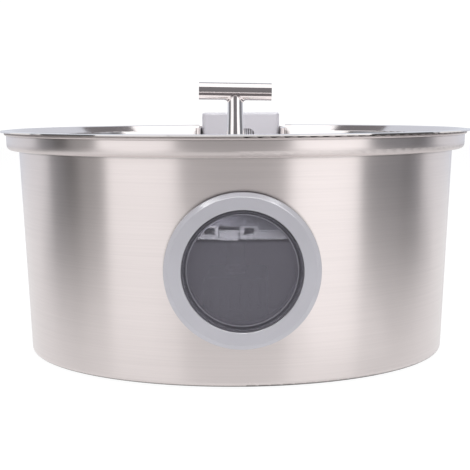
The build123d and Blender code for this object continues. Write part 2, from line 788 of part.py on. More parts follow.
def make_filter_box():
    """The grey filter housing on four legs, open below, with a sleeve for the nozzle."""
    z = (housing_bottom, housing_top)
    box = plan_outline(0, box_front, box_back, z)
    inner_z = (z[0] - over, z[1] - box_wall)
    box -= plan_outline(-box_wall, box_front - box_wall, box_back - box_wall, inner_z)
    box += post(sleeve_outer, (skirt_bottom, housing_top))
    box -= post(sleeve_bore, (0, far))
    inlet_y = (duct_front + duct_wall, duct_back - duct_wall)
    box -= wide_block(inlet_half_width, inlet_y, (housing_top - box_wall - over, housing_top + over))
    for side, y in leg_places():
        near = box_half_width + leg_gap
        outer = near + leg_depth
        x = (near, outer) if side > 0 else (-outer, -near)
        box += block(x, (y, y + leg_width), (bowl_floor, housing_top))
        tie = (box_half_width - over, near + over)
        tie = tie if side > 0 else (-tie[1], -tie[0])
        box += block(tie, (y, y + leg_width), (housing_bottom, housing_top))
    for centre in (-1, 1):
        x = snap_offset + centre * loop_pitch / 2
        half = (loop_width / 2 - loop_rail) - lift_gap
        y = (-box_front - catch_depth, -box_front + over)
        box += block((x - half, x + half), y, (housing_bottom, housing_bottom + catch_height - lift_gap))
    slot_x = (snap_offset - tab_width / 2, snap_offset + tab_width / 2)
    slot_y = (-box_front - over, -box_front + box_wall + over)
    box -= block(slot_x, slot_y, (z[0] - over, z[0] + slot_height))
    for x, y in tower_screw_places():
        hole = (housing_top - box_wall - over, housing_top + over)
        box -= post(screw_radius + clamp_gap, hole, x, y)
    return box


def make_filter_base():
    """The snap-on base: a slotted plate and skirt, with loops that hook over the housing."""
    z = (skirt_bottom, skirt_top)
    base = plan_outline(0, base_front, box_back, z)
    inner_front = base_front - skirt_wall
    inner_z = (z[0] + base_plate, z[1] + over)
    base -= plan_outline(-skirt_wall, inner_front, box_back - skirt_wall, inner_z)
    base -= post(sleeve_outer + lift_gap, (0, far))
    x_reach = box_half_width / 2
    for slot in range(drain_slots):
        y = cassette_front + cassette_wall + (slot + 1) * 2 * drain_slot_length / 4
        for side in (-1, 1):
            x = (side * x_reach - drain_slot_length / 2, side * x_reach + drain_slot_length / 2)
            base -= block(x, (y, y + drain_slot_width), (z[0] - over, z[0] + base_plate + over))
    for centre in (-1, 1):
        x = snap_offset + centre * loop_pitch / 2
        half = loop_width / 2
        y = (-base_front, -base_front + loop_thickness)
        loop = block((x - half, x + half), y, (z[0], z[1] + loop_rise))
        loop = fillet(loop.edges().filter_by(Axis.Y), loop_rail / 3)
        hole_z = (z[0] + loop_lift, z[0] + loop_lift + loop_hole_height)
        hole_half = half - loop_rail
        clear_y = (-base_front - over, -inner_front + over)
        base += loop
        base -= block((x - hole_half, x + hole_half), clear_y, hole_z)
        for edge in (-half - tab_slit / 2, half + tab_slit / 2):
            slit = (x + edge - tab_slit / 2, x + edge + tab_slit / 2)
            slit_y = (-base_front - over, -base_front + tab_thickness)
            base -= block(slit, slit_y, (z[0] - over, z[1] + over))
    tab_half = tab_width / 2 - tab_slit
    tab_x = (snap_offset - tab_half, snap_offset + tab_half)
    tab = block(tab_x, (-base_front, -base_front + tab_thickness), (z[0] - tab_drop, z[1]))
    return base + tab


def make_filter_cassette():
    """The open tray that holds the filter media, standing on the base."""
    z = (cassette_bottom, cassette_bottom + cassette_height)
    y = (cassette_front, cassette_back)
    tray = wide_block(cassette_half_width, y, z)
    tray = fillet(upright_edges(tray), box_front_round - box_wall)
    inner_y = (y[0] + cassette_wall, y[1] - cassette_wall)
    inner_half = cassette_half_width - cassette_wall
    hollow = wide_block(inner_half, inner_y, (z[0] + cassette_wall, z[1] + over))
    tray -= fillet(upright_edges(hollow), box_front_round - box_wall - cassette_wall)
    core = sleeve_outer + cassette_gap
    tray += post(core + cassette_wall, z)
    tray -= post(core, (0, far))
    x_reach = box_half_width / 2
    for slot in range(drain_slots):
        slot_y = cassette_front + cassette_wall + (slot + 1) * 2 * drain_slot_length / 4
        for side in (-1, 1):
            x = (side * x_reach - drain_slot_length / 2, side * x_reach + drain_slot_length / 2)
            slot_z = (z[0] - over, z[0] + cassette_wall + over)
            tray -= block(x, (slot_y, slot_y + drain_slot_width), slot_z)
    return tray


def media_slab(low, thickness):
    """One layer of filter media, inside the cassette and around its core."""
    y = (cassette_front + cassette_wall + media_gap, cassette_back - cassette_wall - media_gap)
    half = cassette_half_width - cassette_wall - media_gap
    slab = wide_block(half, y, (low, low + thickness))
    slab = fillet(upright_edges(slab), box_front_round - box_wall - cassette_wall)
    core = sleeve_outer + cassette_gap + cassette_wall + media_gap
    return slab - post(core, (0, far))


foam_low = cassette_bottom + cassette_wall
carbon_low = foam_low + foam_thickness
cotton_low = carbon_low + carbon_thickness


# ---------------------------------------------------------------- nozzle and hose
def make_nozzle_socket():
    """The socket on the housing that the spout's spigot drops into, with a barb below."""
    body = post(sleeve_bore - clamp_gap, (nozzle_floor - sleeve_wall, nozzle_top))
    body += post(socket_flange_radius, (housing_top, nozzle_top))
    body += post(barb_radius - clamp_gap, (barb_end, nozzle_floor))
    body -= post(spigot_radius + shaft_gap, (nozzle_floor, nozzle_top + over))
    return body - post(barb_bore, (0, far))


def make_water_hose():
    hose = post(barb_radius + hose_wall, (hose_bottom, hose_top))
    return hose - post(barb_radius, (0, far))


def make_hose_clips():
    """Spring clips that hold the hose on its barbs."""
    inner = barb_radius + hose_wall + clamp_gap
    clips = []
    for middle in (outlet_top - hose_overlap / 2, barb_end + hose_overlap / 2):
        z = (middle - clip_width / 2, middle + clip_width / 2)
        ring = post(inner + clip_thickness, z) - post(inner, (0, far))
        reach = inner + clip_thickness + clip_ear
        ears = block((-clip_width / 2, clip_width / 2), (inner, reach), z)
        ears -= post(inner, (0, far))
        slit = block((-clip_thickness / 2, clip_thickness / 2), (0, reach + over), (0, far))
        clips.append((ring + ears) - slit)
    return Compound(clips)


# ---------------------------------------------------------------- pump
def make_pump_body():
    """Motor housing and volute in one moulding, with a rotor well and an upright outlet."""
    body = block(
        (-pump_half_width, pump_half_width), (-volute_front, pump_back), (pump_bottom, pump_top)
    )
    body = fillet(body.edges().filter_by(Axis.Y), pump_edge)
    body = fillet(body.faces().sort_by(Axis.Y)[-1].edges(), pump_edge / 2)
    body += post(barb_radius - clamp_gap, (pump_top - over, outlet_top))
    lead_z = pump_axis - lead_exit_drop
    body += rod(gland_radius, (pump_back - over, pump_back + gland_length), lead_z)
    body -= rod(volute_radius, (-volute_front - over, volute_back), pump_axis)
    body -= rod(well_radius, (0, well_end), pump_axis)
    body -= rod(bush_radius + clamp_gap, (well_end - over, well_end + bush_length), pump_axis)
    body -= post(barb_bore, (pump_axis, outlet_top + over))
    return body - rod(lead_radius, (pump_back, pump_back + gland_length + over), lead_z)


def make_volute_cover():
    """The plate that closes the volute, with the front bush in its spider."""
    y = (cover_front, -volute_front)
    plate = block((-pump_half_width, pump_half_width), y, (pump_bottom, pump_top))
    plate = fillet(plate.edges().filter_by(Axis.Y), pump_edge)
    plate -= rod(inlet_radius, (y[0] - over, y[1] + over), pump_axis)
    hub = rod(bush_radius + duct_wall, y, pump_axis)
    middle = (y[0] + y[1]) / 2
    for spoke in range(spider_spokes):
        bar = Box(2 * inlet_radius + over, cover_plate, spider_width)
        plate += Pos(0, middle, pump_axis) * Rot(0, spoke * 180 / spider_spokes, 0) * bar
    plate += hub
    return plate - rod(bush_radius + clamp_gap, (y[0] - over, y[1] + over), pump_axis)


def make_intake_cover():
    """The slotted front cover over the sponge."""
    y = (intake_front, cover_front)
    cover = block((-pump_half_width, pump_half_width), y, (pump_bottom, pump_top))
    cover = fillet(cover.edges().filter_by(Axis.Y), pump_edge)
    inner_half = pump_half_width - intake_wall
    inner_z = (pump_bottom + intake_wall, pump_top - intake_wall)
    cover -= block((-inner_half, inner_half), (y[0] + intake_wall, y[1] + over), inner_z)
    pitch = inner_half * 2 / intake_slots
    low = pump_axis + dial_radius - dial_offset + lift_gap
    for slot in range(intake_slots):
        x = -inner_half + (slot + 0.5) * pitch
        side = intake_slot_width / 2
        slot_y = (y[0] - over, y[0] + intake_wall + over)
        cover -= block((x - side, x + side), slot_y, (low, inner_z[1] - intake_wall))
    pivot_z = pump_axis - dial_offset
    cover += rod(dial_pin_radius + 2 * intake_wall, (y[0], y[0] + dial_boss), pivot_z)
    return cover - rod(dial_pin_radius + shaft_gap, (y[0] - over, y[0] + dial_boss + over), pivot_z)


def make_pump_sponge():
    half = pump_half_width - intake_wall - sponge_gap
    z = (pump_bottom + intake_wall + sponge_gap, pump_top - intake_wall - sponge_gap)
    return block((-half, half), (intake_front + sponge_setback, cover_front - sponge_gap), z)


def make_impeller_shaft():
    front = cover_front - shaft_front_reach + bush_length / 2
    return rod(shaft_radius, (front, well_end + bush_length / 2), pump_axis)


def make_shaft_bushes():
    """The two rubber bushes that hold the ends of the ceramic shaft."""
    bushes = []
    for y in ((cover_front, -volute_front), (well_end, well_end + bush_length)):
        hole = rod(shaft_radius, (y[0] - over, y[1] + over), pump_axis)
        bushes.append(rod(bush_radius, y, pump_axis) - hole)
    return Compound(bushes)


def make_impeller():
    """Hub, straight blades and a back disc, on the fixed shaft."""
    wheel = rod(hub_radius, (blade_front, magnet_back), pump_axis)
    wheel += rod(blade_radius, (blade_back, blade_back + disc_thickness), pump_axis)
    middle = (blade_front + blade_back + disc_thickness / 2) / 2
    length = blade_back - blade_front + disc_thickness / 2
    for step in range(blade_count):
        blade = Pos(blade_radius / 2, 0, 0) * Box(blade_radius, length, blade_thickness)
        wheel += Pos(0, middle, pump_axis) * Rot(0, step * 360 / blade_count, 0) * blade
    wheel &= rod(blade_radius, (blade_front, magnet_back), pump_axis)
    return wheel - rod(shaft_radius + shaft_gap, (blade_front - over, magnet_back + over), pump_axis)


def make_rotor_magnet():
    tube = rod(magnet_radius, (magnet_front, magnet_back), pump_axis)
    return tube - rod(hub_radius + clamp_gap, (magnet_front - over, magnet_back + over), pump_axis)


def make_flow_dial():
    """The round flow control on the intake cover, with a pointer grip and a pivot pin."""
    pivot_z = pump_axis - dial_offset
    back = intake_front - lift_gap
    dial = rod(dial_radius, (back - dial_thickness, back), pivot_z)
    dial = chamfer(dial.edges().filter_by(GeomType.CIRCLE).sort_by(Axis.Y)[0], dial_thickness / 4)
    grip_y = (back - dial_thickness - dial_grip_height, back - dial_thickness / 2)
    side = dial_grip_width / 2
    dial += block((-side, side), grip_y, (pivot_z - dial_grip_tail, pivot_z + dial_grip_reach))
    return dial + rod(dial_pin_radius, (back - dial_thickness / 2, intake_front + dial_boss), pivot_z)


def make_suction_cups():
    """Four rubber cups that stand the pump on the bowl's floor."""
    cups = []
    low = bowl_floor + clamp_gap
    top = pump_bottom
    outline = [
        (0, low + cup_rim),
        (cup_radius - 2 * cup_rim, low),
        (cup_radius, low),
        (cup_radius, low + cup_rim),
        (cup_neck, low + cup_skirt),
        (cup_neck, top),
        (0, top),
    ]
    for x, y in pump_cup_places():
        cups.append(Pos(x, y, 0) * turned(outline))
    return Compound(cups)


def pump_cup_places():
    return [(side * cup_x, y) for side in (-1, 1) for y in (cup_front, cup_back)]


# ---------------------------------------------------------------- internal lead
def make_pump_lead():
    """The pump's lead: along the floor, up behind the housing and into the socket's back."""
    exit_z = pump_axis - lead_exit_drop
    points = [
        (0, pump_back + gland_length / 2, exit_z),
        (0, lead_run_out, exit_z),
        (0, lead_low, bowl_floor + 3 * lead_radius),
        (0, lead_back - lead_lean, bowl_floor + lead_rise),
        (0, lead_back, lead_upright),
        (0, lead_back, socket_z - socket_tail),
    ]
    runs = [math.dist(a, b) for a, b in zip(points, points[1:])]
    radii = []
    for index in range(1, len(points) - 1):
        before = Vector(*points[index]) - Vector(*points[index - 1])
        after = Vector(*points[index + 1]) - Vector(*points[index])
        half_turn = math.radians(before.get_angle(after) / 2)
        radii.append(lead_bend * min(runs[index - 1], runs[index]) / math.tan(half_turn))
    path = FilletPolyline(*points, radius=radii)
    section = Plane(origin=path @ 0, z_dir=path % 0) * Circle(lead_radius)
    return sweep(section, path=path)


def make_lead_clips():
    """Clips on the back of the housing that hold the lead upright."""
    clips = []
    for step in (0, 1):
        z = housing_bottom + lead_clip_height / 2 + step * lead_clip_pitch
        clip_z = (z, z + lead_clip_height)
        y = (box_back, lead_back + lead_radius / 2)
        clip = wide_block(lead_clip_width / 2, y, clip_z)
        clips.append(clip - post(lead_radius + clamp_gap, (0, far), 0, lead_back))
    return Compound(clips)


# ---------------------------------------------------------------- write every piece
turn = Rot(0, 0, housing_turn)
fixed_pieces = {
    "bowl": make_bowl(),
    "foot_pads": make_foot_pads(),
    "window_ring": make_window_ring(),
    "window_gasket": make_window_gasket(),
    "window_backing": make_window_backing(),
    "window_nut": make_window_nut(),
    "window_lens": make_window_lens(),
    "lens_gasket": make_lens_gasket(),
}
turned_pieces = {
    "drinking_tray": make_drinking_tray(),
    "spout_grommet": make_spout_grommet(),
    "spout_tee": make_spout_tee(),
    "spout_nut": make_spout_nut(),
    "spout_o_ring": make_spout_o_ring(),
    "filter_cap": make_filter_cap(),
    "strainer_basket": make_strainer_basket(),
    "drain_tower": make_drain_tower(),
    "tower_screws": make_tower_screws(),
    "power_socket": make_power_socket(),
    "socket_pin": make_socket_pin(),
    "filter_box": make_filter_box(),
    "filter_base": make_filter_base(),
    "filter_cassette": make_filter_cassette(),
    "filter_foam": media_slab(foam_low, foam_thickness),
    "carbon_bed": media_slab(carbon_low, carbon_thickness),
    "filter_cotton": media_slab(cotton_low, cotton_thickness),
    "nozzle_socket": make_nozzle_socket(),
    "water_hose": make_water_hose(),
    "hose_clips": make_hose_clips(),
    "pump_body": make_pump_body(),
    "volute_cover": make_volute_cover(),
    "intake_cover": make_intake_cover(),
    "pump_sponge": make_pump_sponge(),
    "impeller_shaft": make_impeller_shaft(),
    "shaft_bushes": make_shaft_bushes(),
    "impeller": make_impeller(),
    "rotor_magnet": make_rotor_magnet(),
    "flow_dial": make_flow_dial(),
    "suction_cups": make_suction_cups(),
    "pump_lead": make_pump_lead(),
    "lead_clips": make_lead_clips(),
}
os.makedirs("parts", exist_ok=True)
for name, piece in fixed_pieces.items():
    export_step(piece, f"parts/{name}.step")
for name, piece in turned_pieces.items():
    export_step(turn * piece, f"parts/{name}.step")
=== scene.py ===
import math

import bpy
from mathutils import Matrix, Vector

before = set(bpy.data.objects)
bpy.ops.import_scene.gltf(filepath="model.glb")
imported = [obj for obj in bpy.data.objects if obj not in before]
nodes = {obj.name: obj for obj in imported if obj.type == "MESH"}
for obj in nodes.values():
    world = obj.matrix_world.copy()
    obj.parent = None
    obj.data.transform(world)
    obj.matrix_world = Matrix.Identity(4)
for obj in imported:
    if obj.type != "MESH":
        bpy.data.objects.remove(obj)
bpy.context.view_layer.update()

# Looks of the pet water fountain: finishes for every piece, a plain white floor and backdrop,
# soft studio light and a camera at the photograph's angle. Metres, in the frame of the CAD model.

# ---------------------------------------------------------------- camera and studio sizes
IMAGE_WIDTH = 470           # pixels
SENSOR = 36.0               # mm
FOCAL_PIXELS = 1228.3
CAMERA_DISTANCE = 0.8534    # level distance from the bowl's axis
CAMERA_HEIGHT = 0.1684
CAMERA_SIDE = -1.45         # degrees round the bowl, towards -X
CAMERA_PAN = 0.042          # degrees to the left
CAMERA_PITCH = 6.14         # degrees below level
CAMERA_ROLL = -0.27         # degrees

FLOOR_SIZE = 8.0
FLOOR_DROP = 0.0001
BACKDROP_DISTANCE = 1.3
BACKDROP_HEIGHT = 1.55
TABLE_SIDE = 0.44
TABLE_FRONT = 0.92
SWEEP_FRONT = 0.2
SWEEP_BACK = 3.0
TABLE_EDGE = 0.02
TABLE_GLOW = 0.92
ROOM_GLOW = 0.12
FLOOR_WHITE = 1.1           # what the camera sees of the floor
FLOOR_PAINT = (0.9, 0.9, 0.9, 1)
FLOOR_SHADE = 0.12          # share of the floor's look that takes shadows
PAPER_SPREAD = 17.0         # degrees to each side
PAPER_NEAR = 0.2
PAPER_FAR = 1.15
WALL_HEIGHT = 1.6
BACKDROP_WIDTH = 7.2
BACKDROP_GLOW = 0.76
WORLD_WHITE = 1.05
WORLD_DIM = (0.22, 0.21, 0.22, 1)
WHITE = (1.0, 1.0, 1.0)
BLACK = (0.0, 0.0, 0.0)
COOL = (0.95, 0.99, 1.08)


# ---------------------------------------------------------------- helpers for materials
TINT_DARKEST = 0.35         # noise value of a tint's darker end
TINT_LIGHTEST = 0.65
CREASE_SAMPLES = 8
CREASE_CLOSED = 0.35        # open share of the surroundings where the painted crease shade is darkest
CREASE_OPEN = 0.85          # and where it ends


class Shader:
    """A material being built: a Principled BSDF and short calls that add nodes in front of it."""

    def __init__(self, name):
        self.material = bpy.data.materials.new(name)
        self.material.use_nodes = True
        self.tree = self.material.node_tree
        self.bsdf = self.tree.nodes["Principled BSDF"]
        self.place = self.add("ShaderNodeTexCoord").outputs["Object"]

    def add(self, kind, **settings):
        node = self.tree.nodes.new(kind)
        for key, value in settings.items():
            setattr(node, key, value)
        return node

    def link(self, source, target):
        self.tree.links.new(source, target)

    def set(self, **values):
        """Constants on the Principled BSDF's own sockets, by socket name with _ for a space."""
        for key, value in values.items():
            self.bsdf.inputs[key.replace("_", " ")].default_value = value

    def stretched(self, scale, turn=(0, 0, 0)):
        """Object coordinates scaled along X, Y and Z, and turned by radians about them."""
        mapping = self.add("ShaderNodeMapping")
        mapping.inputs["Scale"].default_value = scale
        mapping.inputs["Rotation"].default_value = turn
        self.link(self.place, mapping.inputs["Vector"])
        return mapping.outputs["Vector"]

    def noise(self, scale, detail=3.0, roughness=0.55, vector=None):
        node = self.add("ShaderNodeTexNoise")
        node.inputs["Scale"].default_value = scale
        node.inputs["Detail"].default_value = detail
        node.inputs["Roughness"].default_value = roughness
        self.link(vector or self.place, node.inputs["Vector"])
        return node.outputs["Fac"]

    def distance_from(self, centre, axes):
        """Distance from a point in object coordinates, counted only along the axes marked 1."""
        mapping = self.add("ShaderNodeMapping", vector_type="POINT")
        mapping.inputs["Location"].default_value = [-a * b for a, b in zip(centre, axes)]
        mapping.inputs["Scale"].default_value = axes
        self.link(self.place, mapping.inputs["Vector"])
        length = self.add("ShaderNodeVectorMath", operation="LENGTH")
        self.link(mapping.outputs["Vector"], length.inputs[0])
        return length.outputs["Value"]

    def cells(self, scale):
        """Distance to the middle of the nearest of scattered cells."""
        node = self.add("ShaderNodeTexVoronoi")
        node.inputs["Scale"].default_value = scale
        self.link(self.place, node.inputs["Vector"])
        return node.outputs["Distance"]

    def between(self, value, low, high, start=0.3, end=0.7):
        """Maps value from start..end to low..high."""
        node = self.add("ShaderNodeMapRange")
        for key, number in (("From Min", start), ("From Max", end), ("To Min", low), ("To Max", high)):
            node.inputs[key].default_value = number
        self.link(value, node.inputs["Value"])
        return node.outputs["Result"]

    def ramp(self, value, stops):
        """A colour ramp from (position, colour) stops."""
        node = self.add("ShaderNodeValToRGB")
        elements = node.color_ramp.elements
        while len(elements) < len(stops):
            elements.new(0.5)
        for element, (position, colour) in zip(elements, stops):
            element.position = position
            element.color = (*colour, 1.0)
        self.link(value, node.inputs["Fac"])
        return node.outputs["Color"]

    def combined(self, operation, first, second):
        """Two values put together by a Math operation."""
        node = self.add("ShaderNodeMath", operation=operation)
        self.link(first, node.inputs[0])
        self.link(second, node.inputs[1])
        return node.outputs["Value"]

    def tint(self, value, colour, spread):
        """A colour that goes from darker to lighter by spread, with value."""
        low = tuple(channel * (1 - spread) for channel in colour)
        high = tuple(min(1.0, channel * (1 + spread)) for channel in colour)
        return self.ramp(value, [(TINT_DARKEST, low), (TINT_LIGHTEST, high)])

    def painted_crease_shade(self, colour, reach, least, bright=None):
        """The colour, darkened as painted shade to least of itself in creases narrower than reach.

        It isn't darkened where bright is 1.
        """
        # painted shade: ambient occlusion darkens the colour where shade falls in creases
        gaps = self.add("ShaderNodeAmbientOcclusion", samples=CREASE_SAMPLES)
        gaps.inputs["Distance"].default_value = reach
        open_share = gaps.outputs["AO"]
        if bright:
            open_share = self.combined("MAXIMUM", open_share, bright)
        mix = self.add("ShaderNodeMix", data_type="RGBA", blend_type="MULTIPLY")
        mix.inputs["Factor"].default_value = 1.0
        share = self.between(open_share, least, 1.0, CREASE_CLOSED, CREASE_OPEN)
        self.link(colour, mix.inputs[6])
        self.link(share, mix.inputs[7])
        return mix.outputs[2]

    def bump(self, value, strength, distance, under=None):
        node = self.add("ShaderNodeBump")
        node.inputs["Strength"].default_value = strength
        node.inputs["Distance"].default_value = distance
        self.link(value, node.inputs["Height"])
        if under:
            self.link(under, node.inputs["Normal"])
        return node.outputs["Normal"]

    def drive(self, **sources):
        """Links outputs to the Principled BSDF's sockets, by socket name with _ for a space."""
        for key, source in sources.items():
            self.link(source, self.bsdf.inputs[key.replace("_", " ")])


def srgb(red, green, blue):
    """A linear colour from sRGB values of 0 to 255."""
    def linear(value):
        value /= 255
        return value / 12.92 if value <= 0.04045 else ((value + 0.055) / 1.055) ** 2.4

    return tuple(linear(value) for value in (red, green, blue))


# ---------------------------------------------------------------- materials
STEEL = (0.735, 0.675, 0.665)
SHEET_ROUGHNESS = (0.285, 0.305)
FINE_LINES = (9, 9, 900)    # noise scales along X, Y and Z
BROAD_LINES = (3, 3, 90)
BEAD_RADIUS = 0.0011        # of the rim bead, whose upper half is rougher and left out of the painted crease shade
FOLD_FOOT = 0.0125          # the duller fold under the collar, below the rim's top
FOLD_TOP = 0.0065
FOLD_ROUGHNESS = 0.13       # added to the sheet's
BEAD_ROUGHNESS = 0.4
POLISH = (0.80, 0.765, 0.76)
WEAR_LINES = (20, 20, 700)
LENS_WALL = 0.0028          # from the lens's edge in to the foot of its wall
LENS_LINE = 0.0014          # from that foot to where its painted highlight line ends, on either side
LENS_SMOKE = (0.445, 0.436, 0.492)
LENS_TINT = (0.887, 0.849, 1.0, 1.0)
LENS_CLEAR = 0.82
LENS_CLEAR_AT_LINE = 0.3
FINE_GRAIN = 0.0001         # depth of a moulded or cast surface's grain


def brushed_steel(bowl):
    """Spun sheet with fine lines round the axis, which spread reflections up and down, and painted
    shade in its creases.
    """
    shader = Shader("brushed_steel_sheet")
    fine = shader.noise(1.0, detail=4.0, roughness=0.75, vector=shader.stretched(FINE_LINES))
    broad = shader.noise(1.0, detail=1.0, roughness=0.5, vector=shader.stretched(BROAD_LINES))
    shader.set(Metallic=1.0, Anisotropic=0.85, Anisotropic_Rotation=0.25)
    tangent = shader.add("ShaderNodeTangent", direction_type="RADIAL", axis="Z")
    split = shader.add("ShaderNodeSeparateXYZ")
    shader.link(shader.place, split.inputs["Vector"])
    height = split.outputs["Z"]
    top = bowl.bound_box[6][2]
    bead_top = shader.between(height, 0.0, 1.0, start=top - BEAD_RADIUS * 2, end=top - BEAD_RADIUS)
    fold = shader.ramp(
        shader.between(height, 0.0, 1.0, start=top - FOLD_FOOT, end=top - FOLD_TOP),
        [(0.0, BLACK), (0.15, WHITE), (0.6, WHITE), (1.0, BLACK)],
    )
    rough = shader.between(broad, *SHEET_ROUGHNESS)
    for mask, more in ((fold, FOLD_ROUGHNESS), (bead_top, BEAD_ROUGHNESS)):
        rough = shader.combined("ADD", rough, shader.between(mask, 0.0, more, start=0.0, end=1.0))
    lines = shader.tint(fine, STEEL, spread=0.025)
    # painted shade in the creases, kept off the bead's upper half
    shader.drive(
        Base_Color=shader.painted_crease_shade(lines, reach=0.003, least=0.05, bright=bead_top),
        Roughness=rough,
        Tangent=tangent.outputs["Tangent"],
    )
    return shader.material


def polished_steel():
    """Mirror polish with faint haze and fine wear, and painted shade in its creases."""
    shader = Shader("polished_steel_sheet")
    haze = shader.noise(38.0, detail=4.0, roughness=0.6)
    lines = shader.noise(1.0, detail=3.0, roughness=0.6, vector=shader.stretched(WEAR_LINES))
    shader.set(Metallic=1.0)
    # painted shade in the creases
    shader.drive(
        Base_Color=shader.painted_crease_shade(shader.tint(haze, POLISH, spread=0.02), reach=0.006, least=0.25),
        Roughness=shader.between(haze, 0.05, 0.10),
        Normal=shader.bump(lines, strength=0.04, distance=0.00002),
    )
    return shader.material


def fitting_steel():
    shader = Shader("zinc_plated_steel")
    grain = shader.noise(900.0, detail=3.0, roughness=0.6)
    shader.set(Metallic=1.0)
    shader.drive(
        Base_Color=shader.tint(grain, (0.62, 0.61, 0.60), spread=0.06),
        Roughness=shader.between(grain, 0.25, 0.4),
        Normal=shader.bump(grain, strength=0.1, distance=FINE_GRAIN),
    )
    return shader.material


def moulded_plastic(name, colour, roughness, grain=0.12):
    """Injection-moulded ABS: a fine spark-eroded grain, faint flow marks and a soft sheen."""
    shader = Shader(name)
    fine = shader.noise(2600.0, detail=2.0, roughness=0.6)
    flow = shader.noise(28.0, detail=3.0, roughness=0.5)
    shader.set(IOR=1.52, Specular_IOR_Level=0.5)
    shader.drive(
        Base_Color=shader.tint(flow, colour, spread=0.025),
        Roughness=shader.between(flow, roughness * 0.9, roughness * 1.15),
        Normal=shader.bump(fine, strength=grain, distance=FINE_GRAIN),
    )
    return shader.material


def smoked_lens(lens):
    """Clear plastic with a grey smoke in it, and a painted highlight line at the rounded foot of its
    wall, where it lets less light through.
    """
    shader = Shader("smoked_clear_plastic")
    cloud = shader.noise(60.0, detail=3.0, roughness=0.5)
    low, high = Vector(lens.bound_box[0]), Vector(lens.bound_box[6])
    middle = (low + high) / 2
    wall_foot = (high.z - low.z) / 2 - LENS_WALL
    radius = shader.distance_from((middle.x, 0, middle.z), (1, 0, 1))
    across = shader.between(radius, 0.0, 1.0, start=wall_foot - LENS_LINE, end=wall_foot + LENS_LINE)
    # painted highlight line: the lens lets less light through along the foot of its wall
    line = shader.ramp(across, [(0.3, BLACK), (0.5, WHITE), (0.7, BLACK)])
    shader.set(IOR=1.6, Roughness=0.0, Specular_Tint=LENS_TINT)
    shader.drive(
        Base_Color=shader.tint(cloud, LENS_SMOKE, spread=0.02),
        Transmission_Weight=shader.between(line, LENS_CLEAR, LENS_CLEAR_AT_LINE, start=0.0, end=1.0),
    )
    return shader.material


def rubber(name, colour, roughness=0.62):
    shader = Shader(name)
    grain = shader.noise(1500.0, detail=3.0, roughness=0.6)
    bloom = shader.noise(60.0, detail=3.0, roughness=0.5)
    shader.set(IOR=1.5)
    shader.drive(
        Base_Color=shader.tint(bloom, colour, spread=0.12),
        Roughness=shader.between(grain, roughness * 0.9, roughness * 1.1),
        Normal=shader.bump(grain, strength=0.15, distance=FINE_GRAIN),
    )
    return shader.material


def silicone():
    """Milky soft silicone."""
    shader = Shader("milky_silicone")
    cloud = shader.noise(120.0, detail=3.0, roughness=0.5)
    shader.set(IOR=1.43, Subsurface_Weight=0.25, Subsurface_Scale=0.002)
    shader.drive(
        Base_Color=shader.tint(cloud, (0.72, 0.72, 0.70), spread=0.04),
        Roughness=shader.between(cloud, 0.34, 0.46),
        Normal=shader.bump(cloud, strength=0.1, distance=FINE_GRAIN),
    )
    return shader.material


def foam(name, colour):
    """Open-cell foam, with painted light on the struts and painted shade in the pores."""
    shader = Shader(name)
    pores = shader.cells(900.0)
    # lit and shaded copies of the colour: painted light on the struts, painted shade in the pores
    light, dark = (tuple(channel * share for channel in colour) for share in (1.6, 0.4))
    shader.set(IOR=1.45, Roughness=0.95)
    shader.drive(
        Base_Color=shader.ramp(pores, [(0.05, light), (0.6, dark)]),
        Normal=shader.bump(pores, strength=0.9, distance=0.0008),
    )
    return shader.material


def carbon():
    """Crushed coconut-shell carbon, in grains with glinting faces."""
    shader = Shader("activated_carbon")
    grains = shader.cells(480.0)
    shader.set(IOR=1.6)
    shader.drive(
        Base_Color=shader.ramp(grains, [(0.0, (0.045, 0.045, 0.048)), (0.7, (0.008, 0.008, 0.009))]),
        Roughness=shader.between(shader.noise(480.0), 0.35, 0.8),
        Normal=shader.bump(grains, strength=1.0, distance=0.001),
    )
    return shader.material


def cotton():
    """Needled cotton wadding with crossing fibres."""
    shader = Shader("cotton_wadding")
    along, across = (
        shader.noise(1.0, detail=4.0, roughness=0.7, vector=shader.stretched(scale, turn))
        for scale, turn in (((90, 1600, 700), (0, 0, 0)), ((1600, 110, 700), (0, 0, 0.5)))
    )
    shader.set(IOR=1.45, Roughness=0.95, Sheen_Weight=0.3)
    first = shader.bump(along, strength=0.7, distance=0.0006)
    shader.drive(
        Base_Color=shader.tint(across, (0.80, 0.79, 0.75), spread=0.08),
        Normal=shader.bump(across, strength=0.7, distance=0.0006, under=first),
    )
    return shader.material


def ceramic():
    shader = Shader("alumina_ceramic")
    grain = shader.noise(2200.0, detail=2.0, roughness=0.5)
    shader.set(IOR=1.76)
    shader.drive(
        Base_Color=shader.tint(grain, (0.84, 0.82, 0.77), spread=0.03),
        Roughness=shader.between(grain, 0.18, 0.3),
    )
    return shader.material


def ferrite():
    """Sintered ferrite magnet."""
    shader = Shader("ferrite_magnet")
    grain = shader.noise(1400.0, detail=4.0, roughness=0.7)
    shader.set(Metallic=0.35)
    shader.drive(
        Base_Color=shader.tint(grain, (0.055, 0.055, 0.06), spread=0.3),
        Roughness=shader.between(grain, 0.4, 0.6),
        Normal=shader.bump(grain, strength=0.2, distance=FINE_GRAIN),
    )
    return shader.material


def brass():
    shader = Shader("turned_brass")
    lines = shader.noise(1.0, detail=3.0, roughness=0.6, vector=shader.stretched((200, 3000, 200)))
    shader.set(Metallic=1.0)
    shader.drive(
        Base_Color=shader.tint(lines, (0.83, 0.64, 0.30), spread=0.06),
        Roughness=shader.between(lines, 0.18, 0.32),
    )
    return shader.material


